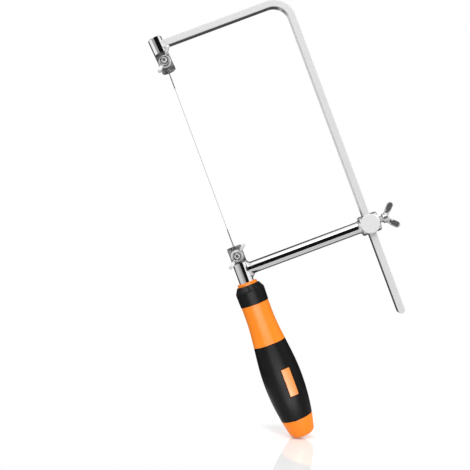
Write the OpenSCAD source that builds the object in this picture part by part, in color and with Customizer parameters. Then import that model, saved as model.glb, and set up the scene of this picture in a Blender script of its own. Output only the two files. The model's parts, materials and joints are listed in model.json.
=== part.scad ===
// Adjustable fret saw. A round two-colour handle carries a plated stem and a side arm.
// The arm ends in a collar through which a bent flat bar, the bow, slides, clamped by a wing screw.
// A looped wire blade is stretched between two bolts, under washers that wing nuts tighten.
// Origin: the middle of the grip, on the handle's axis.
// +Z runs up the blade, +X points from the blade to the bow's spine, and -Y is the front.

/* [Handle] */
// Length of the black grip sleeve
grip_length = 56.5; // [45:0.5:75]
// Length of the rounded butt below the grip sleeve
butt_length = 13.8; // [9:0.2:20]
// Length of the bare waist above the grip sleeve
waist_length = 30.4; // [24:0.2:45]
// Length of the straight upper part of the waist
waist_straight = 7.4; // [3:0.1:14]
// Diameter of the waist
waist_d = 20.3; // [18:0.1:23]
// Largest diameter of the grip
belly_d = 28.4; // [25:0.1:34]
// Height of the largest diameter above the middle of the grip
belly_rise = 0.3; // [-6:0.1:8]
// Radius of the long arc from the belly down to the butt
tail_arc_r = 157; // [120:1:260]
// Radius of the rounded edge round the flat end of the butt
butt_round = 4.6; // [2:0.1:6]
// Wall of the grip sleeve
sleeve_wall = 2; // [1.2:0.1:3]
// Width of the window in the grip sleeve
window_w = 6.7; // [4:0.1:10]
// Height of the window in the grip sleeve
window_h = 20.4; // [12:0.1:28]
// Distance of the window's middle below the middle of the grip
window_drop = 0.9; // [-5:0.1:8]
// Turn of the window from the front, towards the spine, in degrees
window_turn = 17.5; // [0:0.5:45]
// Depth of the window's face below the sleeve's surface
window_sink = 0.25; // [0.1:0.05:0.8]

/* [Neck] */
// Length of the black neck sleeve
neck_length = 14.2; // [10:0.1:20]
// Length of the chamfer at the top of the neck sleeve
neck_chamfer = 4.2; // [2.5:0.1:6]
// Diameter of the neck sleeve at its lower end
neck_low_d = 20.9; // [19:0.1:24]
// Diameter of the neck sleeve at its shoulder
neck_shoulder_d = 21.5; // [20:0.1:25]
// Diameter of the neck sleeve at its top
neck_top_d = 16.6; // [15.6:0.1:18]
// Number of flutes round the chamfer
flute_count = 12; // [6:1:16]
// Radius of a flute
flute_r = 0.9; // [0.5:0.05:1.2]
// Depth of a flute
flute_depth = 0.45; // [0.2:0.05:0.6]
// Diameter of the handle core inside the neck sleeve
ring_d = 14.6; // [13:0.1:15.4]
// Height of the core's ring above the neck sleeve
ring_height = 2; // [1:0.1:4]

/* [Stem and arm] */
// Diameter of the stem
stem_d = 10.8; // [9:0.1:12]
// Length of the stem's tang inside the handle
tang_length = 52; // [30:1:70]
// Height of the arm's axis above the handle
arm_rise = 8.8; // [7:0.1:16]
// Diameter of the arm
arm_d = 9; // [7:0.1:10]
// Radius of the fillets between arm and stem
braze_r = 3.6; // [2:0.1:4]
// Height of the lower bolt above the arm's axis
bolt_rise = 11.3; // [10.5:0.1:16]
// Length of the stem above the lower bolt
stem_tip = 7.2; // [5:0.1:10]
// Distance from the lower bolt down to the foot of the stem's flat
stem_flat_drop = 5.5; // [4.8:0.1:6]

/* [Collar] */
// Distance from the blade to the middle of the bow's spine
throat = 97; // [80:1:150]
// Diameter of the collar's turned head
head_d = 14.4; // [13:0.1:18]
// Length of the head on the blade's side of the spine
head_inner = 6.2; // [5.5:0.1:10]
// Length of the head on the outer side of the spine
head_outer = 7.3; // [5:0.1:10]
// Diameter of the round faces on the front and back of the head
face_d = 14.1; // [12:0.1:16]
// Height of the round faces above the head
face_rise = 0.4; // [0.2:0.1:1.5]
// Chamfer round the faces
face_chamfer = 0.5; // [0.2:0.1:1]
// Radius of the flare from the arm to the head
flare_r = 2.5; // [1.5:0.1:4]
// Depth of the socket that the arm sits in, from the head's inner end
socket_depth = 2; // [1:0.1:3]

/* [Bow] */
// Width of the bar, across the plane of the saw
bar_depth = 8; // [6:0.1:9]
// Thickness of the bar, in the plane of the saw
bar_t = 5; // [4:0.1:6]
// Radius of the bend, at the bar's middle
bend_r = 14; // [8:0.5:25]
// Height of the top arm's axis above the upper bolt
bow_rise = 12.4; // [11:0.1:20]
// Length of the spine below the lower arm's axis
tail_drop = 68.4; // [40:0.5:110]
// Gap all round the bar in the collar's slot
bar_gap = 0.1; // [0.05:0.01:0.2]

/* [Post] */
// Diameter of the post
post_d = 10.3; // [9:0.1:12]
// Length of the post above the top arm's axis
post_head = 6; // [3.5:0.1:10]
// Length of the post below the upper bolt
post_tip = 7.8; // [5:0.1:10]
// Lean of the post about the upper bolt, away from the spine, in degrees
post_lean = 4; // [0:0.5:8]
// Distance from the upper bolt up to the head of the post's flat
post_flat_rise = 6.5; // [4.8:0.1:8]
// Width of the braze round the bar's end
braze_w = 0.7; // [0.3:0.1:1.2]
// Length of the braze along the bar
braze_l = 1.8; // [1:0.1:3]

/* [Clamps] */
// Diameter of the clamp bolts
bolt_d = 4; // [3:0.1:5]
// Diameter of the bolt heads behind the flats
bolt_head_d = 7.4; // [6:0.1:8]
// Height of the bolt heads
bolt_head_h = 2.2; // [1.2:0.1:3.5]
// Length of bolt that stands out of the wing nut
bolt_proud = 1.2; // [0.5:0.1:3]
// Diameter of the washers
washer_d = 9; // [8:0.1:9.6]
// Thickness of the washers
washer_t = 0.8; // [0.5:0.1:1.5]
// Radial gap of the bolts in their holes, and of the nuts and washers on the bolts
thread_gap = 0.05; // [0.02:0.01:0.09]

/* [Wing nuts] */
// Diameter of a nut's hub at its foot
nut_d = 7.8; // [7:0.1:9]
// Diameter of a nut's hub at its top
nut_top_d = 6.6; // [6:0.1:8]
// Height of a nut's hub
nut_h = 5.4; // [4:0.1:8]
// Distance of the middle of a wing's tip from the nut's axis
nut_wing_reach = 8.6; // [7:0.1:12]
// Height of the middle of a wing's tip above the nut's foot
nut_wing_rise = 9; // [7:0.1:12]
// Breadth of a wing
nut_wing_w = 3.4; // [2.5:0.1:4.5]
// Thickness of a wing
nut_wing_t = 2.4; // [1.6:0.1:3.2]
// Turn of the lower nut's wings from the blade, towards the spine, in degrees
lower_nut_turn = 50; // [0:1:180]
// Turn of the upper nut's wings from the blade, towards the spine, in degrees
upper_nut_turn = 39; // [0:1:180]

/* [Wing screw] */
// Diameter of the screw's shank
screw_d = 5; // [4:0.1:6]
// Gap between the collar and the screw's hub
hub_gap = 3.4; // [0.3:0.1:6]
// Diameter of the hub at its foot
hub_d = 6.6; // [6:0.1:9]
// Diameter of the hub at its top
hub_top_d = 5.6; // [5:0.1:8]
// Height of the hub
hub_h = 4.2; // [3:0.1:10]
// Distance of the middle of a wing's tip from the screw's axis
screw_wing_reach = 7.7; // [6.5:0.1:12]
// Height of the middle of a wing's tip above the hub's foot
screw_wing_rise = 8.9; // [7:0.1:15]
// Breadth of a wing
screw_wing_w = 3.6; // [2.5:0.1:5]
// Thickness of a wing
screw_wing_t = 2.6; // [1.6:0.1:3.5]

/* [Blade] */
// Distance between the bolts that the blade is stretched over
blade_span = 149.3; // [120:0.1:165]
// Diameter of the cutting wire
blade_d = 0.5; // [0.3:0.05:0.8]
// Diameter of the wire in the loops
loop_wire_d = 0.7; // [0.4:0.05:0.9]
// Diameter of the twisted ends
twist_d = 1; // [0.7:0.05:1.3]
// Distance from a bolt to the outer end of the twist
twist_reach = 20.3; // [14:0.1:30]
// Inner diameter of a loop
loop_d = 6; // [5.2:0.1:7]
// Distance from the middle of a loop to where its wires meet
loop_neck = 7; // [5.5:0.1:9]
// Gap between the blade and what clamps it
blade_gap = 0.05; // [0.02:0.01:0.1]

/* [Hidden] */
$fn = 72;

// Overrun of every cut past the face that it opens
overrun = 1;
// Gap round the core's pad in the grip sleeve's window
window_gap = 0.05;
// Chamfer on the ends of stem, post and ring
edge_chamfer = 0.5;
// Depth of a bolt head's seat past where it spans its rod
seat_sink = 0.15;
// Radius of the balls at a loop's bends, as a share of the wire's
bend_ball_share = 1.06;
// Height at which the wings' middle lines meet, as a share of the hub
nut_root_share = 0.67;
screw_root_share = 0.5;
// Steps along a handle curve, round the butt's edge and round a fillet
curve_steps = 24;
round_steps = 8;
ring_steps = 32;

waist_r = waist_d / 2;
belly_r = belly_d / 2;
ring_r = ring_d / 2;
stem_r = stem_d / 2;
arm_r = arm_d / 2;
head_r = head_d / 2;
post_r = post_d / 2;
bolt_r = bolt_d / 2;
loop_r = loop_d / 2;

grip_top_z = grip_length / 2;
grip_low_z = -grip_top_z;
butt_end_z = grip_low_z - butt_length;
belly_z = belly_rise;
neck_base_z = grip_top_z + waist_length;
ease_top_z = neck_base_z - waist_straight;
neck_top_z = neck_base_z + neck_length;
neck_shoulder_z = neck_top_z - neck_chamfer;
ring_top_z = neck_top_z + ring_height;
tang_low_z = ring_top_z - tang_length;
arm_z = ring_top_z + arm_rise;
lower_bolt_z = arm_z + bolt_rise;
stem_top_z = lower_bolt_z + stem_tip;
upper_bolt_z = lower_bolt_z + blade_span;
bow_z = upper_bolt_z + bow_rise;
post_low_z = upper_bolt_z - post_tip;
post_top_z = bow_z + post_head;
post_shift = bow_rise * tan(post_lean);
tail_z = arm_z - tail_drop;

// Depths, from the blade's middle towards the front (-Y) and the back (+Y)
flat_y = twist_d / 2 + blade_gap;
washer_back_y = loop_wire_d / 2 + blade_gap;
nut_foot_y = washer_back_y + washer_t;
bolt_end_y = nut_foot_y + nut_h + bolt_proud;
bolt_seat_r = bolt_head_d / 2 + thread_gap;
face_y = head_r + face_rise;

// The wing screw, from the bow's spine outwards
hub_x = max(head_outer, face_d / 2) + hub_gap;

// Half a cosine wave from 0 to 1
function ease(share) = (1 - cos(180 * share)) / 2;

// Radius of the handle's outline at a height
function handle_r(z) =
    z >= ease_top_z ? waist_r
    : z >= belly_z ? waist_r + (belly_r - waist_r) * ease((ease_top_z - z) / (ease_top_z - belly_z))
    : belly_r - tail_arc_r + sqrt(pow(tail_arc_r, 2) - pow(belly_z - z, 2));

// Points of the handle's outline between two heights, set in by a wall
function handle_line(low, high, inset = 0) =
    [for (i = [0:curve_steps]) let (z = low + (high - low) * i / curve_steps) [handle_r(z) - inset, z]];

// The rounded edge of the butt, from the flat end to where it joins the long arc
butt_slope = asin((belly_z - butt_end_z - butt_round) / tail_arc_r);
butt_join_z = butt_end_z + butt_round * (1 - sin(butt_slope));
butt_round_x = handle_r(butt_join_z) - butt_round * cos(butt_slope);
butt_edge = [for (i = [0:round_steps - 1]) let (a = -90 + (90 - butt_slope) * i / round_steps)
    [butt_round_x + butt_round * cos(a), butt_end_z + butt_round * (1 + sin(a))]];

// A rod along Z with chamfered ends
module rod(r, low, high, chamfer) {
    rotate_extrude()
        polygon([[0, low], [r - chamfer, low], [r, low + chamfer], [r, high - chamfer],
            [r - chamfer, high], [0, high]]);
}

// A block round the window, from inside the sleeve to outside it, grown by a gap
module window_block(grow) {
    wide = window_w + 2 * grow;
    high = window_h + 2 * grow;
    rotate([0, 0, window_turn])
        translate([-wide / 2, -belly_r - overrun, -window_drop - high / 2])
            cube([wide, belly_r + overrun, high]);
}

// Everything on the front of a flat, between two heights
module flat_cut(r, low, high) {
    translate([-r - overrun, -r - overrun, low])
        cube([2 * (r + overrun), r + overrun + flat_y, high - low]);
}

// Hole for a clamp bolt, with a flat seat for its head at the back of a round rod
module bolt_hole(r, z) {
    translate([0, 0, z])
        rotate([-90, 0, 0]) {
            translate([0, 0, -r])
                cylinder(h = 2 * r + overrun, r = bolt_r + thread_gap);
            translate([0, 0, bolt_seat_y(r)])
                cylinder(h = r, r = bolt_seat_r);
        }
}

// Depth of a bolt head's seat, a little past where it spans a round rod
function bolt_seat_y(r) = sqrt(pow(r, 2) - pow(bolt_seat_r, 2)) - seat_sink;

module handle_core() {
    color("darkorange")
        difference() {
            union() {
                rotate_extrude()
                    polygon(concat(
                        [[0, butt_end_z]],
                        butt_edge,
                        handle_line(butt_join_z, grip_low_z),
                        handle_line(grip_low_z, grip_top_z, sleeve_wall),
                        handle_line(grip_top_z, neck_base_z),
                        [[ring_r, neck_base_z], [ring_r, ring_top_z - edge_chamfer],
                            [ring_r - edge_chamfer, ring_top_z], [0, ring_top_z]]));
                intersection() {
                    rotate_extrude()
                        polygon(concat([[0, grip_low_z]], handle_line(grip_low_z, grip_top_z, window_sink),
                            [[0, grip_top_z]]));
                    window_block(-window_gap);
                }
            }
            translate([0, 0, tang_low_z])
                cylinder(h = tang_length + overrun, r = stem_r);
        }
}

module grip_sleeve() {
    inner = handle_line(grip_low_z, grip_top_z, sleeve_wall);
    color("#242426")
        difference() {
            rotate_extrude()
                polygon(concat(handle_line(grip_low_z, grip_top_z),
                    [for (i = [0:curve_steps]) inner[curve_steps - i]]));
            window_block(0);
        }
}

// A flute lies along the chamfer, sunk by its depth
module flute(turn) {
    run = (neck_shoulder_d - neck_top_d) / 2;
    slope = atan2(run, neck_chamfer);
    rotate([0, 0, turn])
        translate([neck_shoulder_d / 2, 0, neck_shoulder_z])
            rotate([0, -slope, 0])
                translate([flute_r - flute_depth, 0, 0])
                    cylinder(h = 2 * neck_chamfer, r = flute_r);
}

module neck_sleeve() {
    color("#242426")
        difference() {
            rotate_extrude()
                polygon([[ring_r, neck_base_z], [neck_low_d / 2, neck_base_z],
                    [neck_shoulder_d / 2, neck_shoulder_z], [neck_top_d / 2, neck_top_z], [ring_r, neck_top_z]]);
            for (i = [0:flute_count - 1])
                flute(i * 360 / flute_count);
        }
}

module handle_stem() {
    color("silver")
        difference() {
            rod(stem_r, tang_low_z, stem_top_z, edge_chamfer);
            flat_cut(stem_r, lower_bolt_z - stem_flat_drop, stem_top_z + overrun);
            bolt_hole(stem_r, lower_bolt_z);
        }
}

// The fillets' sections are ovals, a little narrower than the arm, so they fade out at its sides
braze_side_share = 0.9;

// Distance from the stem's axis and half height of each section, from inside the stem to inside the arm
braze_sections = concat(
    [[0, arm_r + braze_r]],
    [for (i = [0:round_steps]) let (a = 90 * i / round_steps)
        [stem_r + braze_r * (1 - cos(a)), arm_r + braze_r * (1 - sin(a))]],
    [[stem_r + 2 * braze_r, arm_r * braze_side_share]]);

module stem_braze() {
    rings = [for (section = braze_sections)
        [for (k = [0:ring_steps - 1]) let (a = 360 * k / ring_steps)
            [section[0], arm_r * braze_side_share * cos(a), arm_z + section[1] * sin(a)]]];
    last = len(rings) - 1;
    points = [for (ring = rings) each ring];
    low_cap = [for (k = [0:ring_steps - 1]) k];
    high_cap = [for (k = [0:ring_steps - 1]) (last + 1) * ring_steps - 1 - k];
    sides = [for (i = [0:last - 1]) for (k = [0:ring_steps - 1]) let (n = (k + 1) % ring_steps)
        each [[i * ring_steps + k, (i + 1) * ring_steps + k, (i + 1) * ring_steps + n],
            [i * ring_steps + k, (i + 1) * ring_steps + n, i * ring_steps + n]]];
    color("silver")
        difference() {
            polyhedron(points, concat([low_cap], sides, [high_cap]));
            rod(stem_r, arm_z - stem_d, stem_top_z, 0);
            arm_rod();
        }
}

// The arm's rod from the stem's axis to its seat in the collar
module arm_rod() {
    translate([0, 0, arm_z])
        rotate([0, 90, 0])
            cylinder(h = throat - head_inner + socket_depth, r = arm_r);
}

module lower_arm() {
    color("silver")
        difference() {
            arm_rod();
            rod(stem_r, arm_z - stem_d, stem_top_z, 0);
        }
}

// Moves what is drawn along +Z to lie along +X, from the collar's middle outwards
module at_collar() {
    translate([throat, 0, arm_z])
        rotate([0, 90, 0])
            children();
}

// Round faces on the front and back of the head
module collar_faces() {
    translate([throat, 0, arm_z])
        rotate([90, 0, 0])
            rod(face_d / 2, -face_y, face_y, face_chamfer);
}

module frame_collar() {
    bend = min(flare_r, head_r - arm_r);
    flare_x = -head_inner - bend;
    shoulder = head_r - arm_r - bend;
    color("gainsboro")
        difference() {
            union() {
                at_collar()
                    rotate_extrude()
                        difference() {
                            polygon([[0, flare_x], [arm_r + bend, flare_x], [arm_r + bend, -head_inner],
                                [head_r, -head_inner + shoulder], [head_r, head_outer - edge_chamfer],
                                [head_r - edge_chamfer, head_outer], [0, head_outer]]);
                            translate([arm_r + bend, flare_x])
                                circle(r = bend);
                        }
                collar_faces();
            }
            translate([throat - bar_t / 2 - bar_gap, -bar_depth / 2 - bar_gap, arm_z - head_d])
                cube([bar_t + 2 * bar_gap, bar_depth + 2 * bar_gap, 2 * head_d]);
            at_collar()
                cylinder(h = hub_x, r = screw_d / 2 + thread_gap);
            arm_rod();
        }
}

// Two wings in the XZ plane, spread from the axis, for a hub that stands on z = 0
module wings(root_h, reach, rise, breadth, thick) {
    length = norm([reach, rise - root_h]);
    turn = atan2(rise - root_h, reach);
    for (side = [0, 1])
        mirror([side, 0, 0])
            rotate([90, 0, 0])
                linear_extrude(height = thick, center = true)
                    translate([0, root_h])
                        rotate(turn) {
                            translate([0, -breadth / 2])
                                square([length, breadth]);
                            translate([length, 0])
                                circle(r = breadth / 2);
                        }
}

// A hub that narrows from its foot to its top
module hub(foot_d, top_d, high) {
    rotate_extrude()
        polygon([[0, 0], [foot_d / 2, 0], [top_d / 2, high - edge_chamfer],
            [top_d / 2 - edge_chamfer, high], [0, high]]);
}

module frame_wing_screw() {
    shank_low = bar_t / 2 + bar_gap;
    color("lightgray")
        at_collar() {
            translate([0, 0, shank_low])
                cylinder(h = hub_x - shank_low, r = screw_d / 2);
            translate([0, 0, hub_x]) {
                hub(hub_d, hub_top_d, hub_h);
                wings(hub_h * screw_root_share, screw_wing_reach, screw_wing_rise, screw_wing_w, screw_wing_t);
            }
        }
}

module bow_bar() {
    color("lightgray")
        difference() {
            union() {
                translate([0, -bar_depth / 2, bow_z - bar_t / 2])
                    cube([throat - bend_r, bar_depth, bar_t]);
                translate([throat - bend_r, 0, bow_z - bend_r])
                    rotate([90, 0, 0])
                        rotate_extrude(angle = 90)
                            translate([bend_r - bar_t / 2, -bar_depth / 2])
                                square([bar_t, bar_depth]);
                translate([throat - bar_t / 2, -bar_depth / 2, tail_z + bar_t / 2])
                    cube([bar_t, bar_depth, bow_z - bend_r - tail_z - bar_t / 2]);
                translate([throat, 0, tail_z + bar_t / 2])
                    rotate([90, 0, 0])
                        cylinder(h = bar_depth, r = bar_t / 2, center = true);
            }
            at_post()
                rod(post_r, post_low_z, post_top_z, 0);
        }
}

// Leans what is drawn upright about the upper bolt, as the post does
module at_post() {
    translate([0, 0, upper_bolt_z])
        rotate([0, -post_lean, 0])
            translate([0, 0, -upper_bolt_z])
                children();
}

module upper_post() {
    color("silver")
        at_post()
            difference() {
                rod(post_r, post_low_z, post_top_z, edge_chamfer);
                flat_cut(post_r, post_low_z - overrun, upper_bolt_z + post_flat_rise);
                bolt_hole(post_r, upper_bolt_z);
            }
}

// A thin frame of braze that narrows from the post to the bar
module post_braze() {
    wide = bar_depth + 2 * braze_w;
    high = bar_t + 2 * braze_w;
    color("whitesmoke")
        difference() {
            hull() {
                translate([-post_shift, -wide / 2, bow_z - high / 2])
                    cube([post_r, wide, high]);
                translate([-post_shift, -bar_depth / 2, bow_z - bar_t / 2])
                    cube([post_r + braze_l, bar_depth, bar_t]);
            }
            at_post()
                rod(post_r, post_low_z, post_top_z, 0);
            translate([-post_shift, -bar_depth / 2, bow_z - bar_t / 2])
                cube([throat, bar_depth, bar_t]);
        }
}

// Moves what is drawn along +Z to lie along -Y, from the middle of the blade at a bolt
module at_bolt(z) {
    translate([0, 0, z])
        rotate([90, 0, 0])
            children();
}

// A bolt whose head seats at the back of a round rod of radius r
module clamp_bolt(r, z) {
    seat = bolt_seat_y(r);
    dome = bolt_head_h / 2;
    color("gray")
        at_bolt(z)
            rotate_extrude()
                polygon([[0, -seat - bolt_head_h], [bolt_head_d / 2 - dome, -seat - bolt_head_h],
                    [bolt_head_d / 2, -seat - dome], [bolt_head_d / 2, -seat], [bolt_r, -seat],
                    [bolt_r, bolt_end_y - edge_chamfer], [bolt_r - edge_chamfer, bolt_end_y], [0, bolt_end_y]]);
}

module washer(z) {
    color("gainsboro")
        at_bolt(z)
            translate([0, 0, washer_back_y])
                difference() {
                    cylinder(h = washer_t, r = washer_d / 2);
                    translate([0, 0, -overrun])
                        cylinder(h = washer_t + 2 * overrun, r = bolt_r + thread_gap);
                }
}

module wing_nut(z, turn) {
    color("lightgray")
        at_bolt(z)
            translate([0, 0, nut_foot_y])
                rotate([0, 0, 90 - turn])
                    difference() {
                        union() {
                            hub(nut_d, nut_top_d, nut_h);
                            wings(nut_h * nut_root_share, nut_wing_reach, nut_wing_rise, nut_wing_w, nut_wing_t);
                        }
                        translate([0, 0, -overrun])
                            cylinder(h = nut_wing_rise + nut_wing_w + overrun, r = bolt_r + thread_gap);
                    }
}

module upper_clamp_bolt() {
    clamp_bolt(post_r, upper_bolt_z);
}

module upper_washer() {
    washer(upper_bolt_z);
}

module upper_wing_nut() {
    wing_nut(upper_bolt_z, upper_nut_turn);
}

module lower_clamp_bolt() {
    clamp_bolt(stem_r, lower_bolt_z);
}

module lower_washer() {
    washer(lower_bolt_z);
}

module lower_wing_nut() {
    wing_nut(lower_bolt_z, lower_nut_turn);
}

// A loop that hangs on its bolt, drawn for the lower end, with the twist running up from z = 0 at the bolt
module blade_loop() {
    wire_r = loop_wire_d / 2;
    middle_r = loop_r + wire_r;
    middle_z = loop_r - bolt_r - blade_gap;
    meet_z = middle_z + loop_neck;
    half_turn = acos(middle_r / loop_neck);
    leg = sqrt(pow(loop_neck, 2) - pow(middle_r, 2));
    translate([0, 0, middle_z])
        rotate([90, 0, 0])
            rotate([0, 0, 90 + half_turn])
                rotate_extrude(angle = 360 - 2 * half_turn)
                    translate([middle_r, 0])
                        circle(r = wire_r);
    for (side = [-1, 1])
        translate([0, 0, meet_z])
            rotate([0, side * (90 + half_turn), 0]) {
                sphere(r = wire_r * bend_ball_share);
                cylinder(h = leg, r = wire_r);
                translate([0, 0, leg])
                    sphere(r = wire_r * bend_ball_share);
            }
    translate([0, 0, meet_z])
        cylinder(h = twist_reach - meet_z, r = twist_d / 2);
}

module lower_blade_loop() {
    color("dimgray")
        translate([0, 0, lower_bolt_z])
            blade_loop();
}

module upper_blade_loop() {
    color("dimgray")
        translate([0, 0, upper_bolt_z])
            mirror([0, 0, 1])
                blade_loop();
}

module blade_wire() {
    color("gray")
        translate([0, 0, lower_bolt_z + twist_reach])
            cylinder(h = blade_span - 2 * twist_reach, r = blade_d / 2);
}

handle_core();
grip_sleeve();
neck_sleeve();
handle_stem();
stem_braze();
lower_arm();
frame_collar();
frame_wing_screw();
bow_bar();
upper_post();
post_braze();
upper_clamp_bolt();
upper_washer();
upper_wing_nut();
lower_clamp_bolt();
lower_washer();
lower_wing_nut();
lower_blade_loop();
blade_wire();
upper_blade_loop();
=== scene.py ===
"""Dresses an adjustable fret saw: moulded handle, plated frame, clamps and looped blade."""

import json
import math

import bmesh
import bpy
from bpy.props import FloatProperty, FloatVectorProperty, IntProperty, PointerProperty
from mathutils import Matrix, Vector


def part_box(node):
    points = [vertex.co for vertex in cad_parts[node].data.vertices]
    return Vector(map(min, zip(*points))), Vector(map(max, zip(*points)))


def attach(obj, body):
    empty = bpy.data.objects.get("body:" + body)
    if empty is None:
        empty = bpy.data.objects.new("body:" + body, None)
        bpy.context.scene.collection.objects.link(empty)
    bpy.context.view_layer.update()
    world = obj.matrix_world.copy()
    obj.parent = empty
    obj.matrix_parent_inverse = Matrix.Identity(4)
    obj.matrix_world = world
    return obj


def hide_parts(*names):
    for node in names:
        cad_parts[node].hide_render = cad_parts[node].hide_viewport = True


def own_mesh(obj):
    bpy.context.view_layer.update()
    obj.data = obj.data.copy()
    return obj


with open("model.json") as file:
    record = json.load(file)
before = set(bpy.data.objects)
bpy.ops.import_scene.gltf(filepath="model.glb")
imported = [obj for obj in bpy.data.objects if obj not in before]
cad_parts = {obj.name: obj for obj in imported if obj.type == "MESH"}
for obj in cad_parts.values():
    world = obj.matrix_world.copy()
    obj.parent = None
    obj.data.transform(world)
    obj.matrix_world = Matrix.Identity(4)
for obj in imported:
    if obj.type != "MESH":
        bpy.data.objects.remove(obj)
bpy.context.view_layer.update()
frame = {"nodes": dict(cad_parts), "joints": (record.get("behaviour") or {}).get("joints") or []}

bl_info = {
    "name": "Fret Saw",
    "version": (1, 0, 0),
    "blender": (4, 5, 0),
    "location": "View3D > Sidebar > Fret Saw",
    "description": "Builds the looks of an adjustable fret saw round its solid parts",
    "category": "Object",
}

# Places and radii that the solid parts give, in metres
CORE_LOW, CORE_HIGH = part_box("handle_core")
GRIP_LOW, GRIP_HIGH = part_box("grip_sleeve")
NECK_LOW, NECK_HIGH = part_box("neck_sleeve")
STEM_LOW, STEM_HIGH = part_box("handle_stem")
ARM_LOW, ARM_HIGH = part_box("lower_arm")
COLLAR_LOW, COLLAR_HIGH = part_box("frame_collar")
BOW_LOW, BOW_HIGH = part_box("bow_bar")
WIRE_LOW, WIRE_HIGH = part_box("blade_wire")
SCREW_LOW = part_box("frame_wing_screw")[0]

STEM_RADIUS = STEM_HIGH.x
ARM_RADIUS = ARM_HIGH.y
ARM_Z = (ARM_LOW.z + ARM_HIGH.z) / 2
CLAMPS = {
    "lower": {"carrier": "handle", "loop_up": 1},
    "upper": {"carrier": "bow", "loop_up": -1},
}
for name, clamp in CLAMPS.items():
    bolt_low, bolt_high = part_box(name + "_clamp_bolt")
    washer_low, washer_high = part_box(name + "_washer")
    clamp["z"] = (washer_low.z + washer_high.z) / 2
    clamp["bolt_end"] = -bolt_low.y
    clamp["head_end"] = bolt_high.y
    clamp["head_radius"] = (bolt_high.z - bolt_low.z) / 2
    clamp["washer_back"] = -washer_high.y
    clamp["washer_front"] = -washer_low.y
    clamp["washer_radius"] = (washer_high.z - washer_low.z) / 2
BOW_TRAVEL = next(-j["range_m"][0] for j in frame["joints"] if j["name"] == "bow_slide")

# How finely meshes are made: steps round a full turn, metres, and an angle in degrees
ROUND_STEPS = 96
THREAD_STEPS = 48
FILLET_STEPS = 180
PROFILE_STEP = 0.0005
WELD_DISTANCE = 1e-6
SHARP_ANGLE = 40.0
SIDES = (-1, 1)


def length(name, description, default):
    """A property that holds a length in metres."""
    return FloatProperty(
        name=name, description=description, default=default, min=0.0, unit="LENGTH", precision=5)


def angle(name, description, degrees):
    """A property that holds an angle."""
    return FloatProperty(
        name=name, description=description, default=math.radians(degrees), unit="ROTATION")


def share(name, description, default):
    """A property that holds a share from 0 to 1."""
    return FloatProperty(
        name=name, description=description, default=default, min=0.0, max=1.0, subtype="FACTOR")


def colour(name, description, default):
    """A property that holds a linear colour."""
    return FloatVectorProperty(
        name=name, description=description, default=default, size=3, min=0.0, max=1.0,
        subtype="COLOR")


class HandleSizes(bpy.types.PropertyGroup):
    """Sizes of the moulded handle"""

    waist_radius: length("Waist radius", "Radius of the straight part below the neck", 0.01015)
    waist_straight: length("Waist straight", "Length of the waist's straight upper part", 0.0074)
    belly_radius: length("Belly radius", "Largest radius of the grip", 0.0142)
    belly_height: length(
        "Belly height", "Height of the largest radius above the grip's middle", 0.0003)
    tail_arc: length("Tail arc", "Radius of the long arc from the belly to the butt", 0.157)
    butt_round: length("Butt round", "Radius of the edge round the butt's flat end", 0.0046)
    sleeve_wall: length("Sleeve wall", "Wall of the grip sleeve", 0.002)
    window_width: length("Window width", "Width of the window in the grip sleeve", 0.0067)
    window_height: length("Window height", "Height of the window in the grip sleeve", 0.0204)
    window_drop: length(
        "Window drop", "Distance of the window's middle below the grip's middle", 0.0009)
    window_turn: angle("Window turn", "Turn of the window from the front towards the spine", 17.5)
    window_sink: length("Window sink", "Depth of the window's face below the sleeve", 0.00025)
    window_gap: length("Window gap", "Gap round the face in its window", 0.00012)
    neck_low_radius: length("Neck foot radius", "Radius of the neck sleeve at its foot", 0.01045)
    neck_top_radius: length("Neck top radius", "Radius of the neck sleeve at its top", 0.0083)
    neck_chamfer: length("Neck chamfer", "Length of the slope at the neck sleeve's top", 0.0042)
    ring_radius: length("Ring radius", "Radius of the ring above the neck sleeve", 0.0073)
    flute_count: IntProperty(
        name="Flutes", description="Number of flutes round the neck", default=12, min=3)
    flute_radius: length("Flute radius", "Radius of a flute across its length", 0.0009)
    flute_depth: length("Flute depth", "Depth of a flute", 0.0006)
    edge_round: length("Edge round", "Rounding of the moulded edges", 0.0003)


class FrameSizes(bpy.types.PropertyGroup):
    """Sizes of the plated frame"""

    bar_thickness: length(
        "Bar thickness", "Thickness of the bow's bar in the plane of the saw", 0.005)
    bar_edge: length("Bar edge", "Rounding of the bar's long edges", 0.0006)
    bend_radius: length("Bend radius", "Radius of the bow's bend at the bar's middle", 0.014)
    fillet_low: length("Lower fillet", "Radius of the fillet under the arm", 0.0036)
    fillet_top: length("Upper fillet", "Radius of the fillet on the arm", 0.002)
    flat_foot: length("Flat foot", "Distance from the lower bolt down to the stem's flat", 0.0055)
    flat_depth: length(
        "Flat depth", "Distance of the clamping flats behind the blade's middle", 0.00055)
    post_radius: length("Post radius", "Radius of the post at the bow's end", 0.00515)
    post_lean: angle("Post lean", "Lean of the post away from the spine", 4)
    weld_width: length("Weld width", "Width of the weld round the bar's end", 0.0007)
    weld_length: length("Weld length", "Length of the weld along the bar", 0.0018)
    bead_radius: length("Bead radius", "Radius of the bead of weld under the bar's end", 0.002)


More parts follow.
